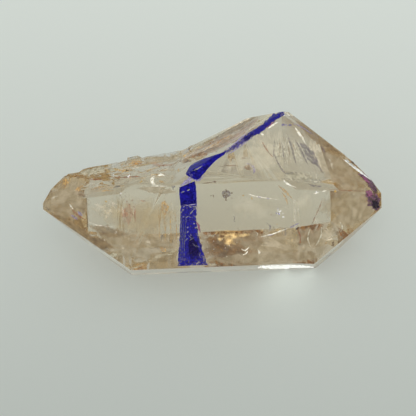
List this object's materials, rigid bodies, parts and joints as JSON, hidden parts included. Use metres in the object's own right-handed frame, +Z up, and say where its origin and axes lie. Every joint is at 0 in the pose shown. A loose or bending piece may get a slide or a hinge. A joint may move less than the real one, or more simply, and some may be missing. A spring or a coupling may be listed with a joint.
{
  "type": "enhydro quartz point",
  "caption": "Clear, pale smoky quartz point with a natural point at both ends, a stepped and broken upper back, lying on a flat face of its prism.",
  "frame": {"origin": "bottom centre of the bounding box, on the plane of the face the crystal rests on", "axes": "+X along the crystal's long axis towards its sharper point, +Z up out of the face it rests on, -Y towards the large clear face"},
  "size_m": [0.0398, 0.0182, 0.0156],
  "materials": {
    "clear_quartz": "clear and faintly smoky, glassy on the crystal faces, stepped and rough on the broken side"
  },
  "bodies": {
    "root": {"quartz_crystal": "clear_quartz"}
  },
  "joints": []
}
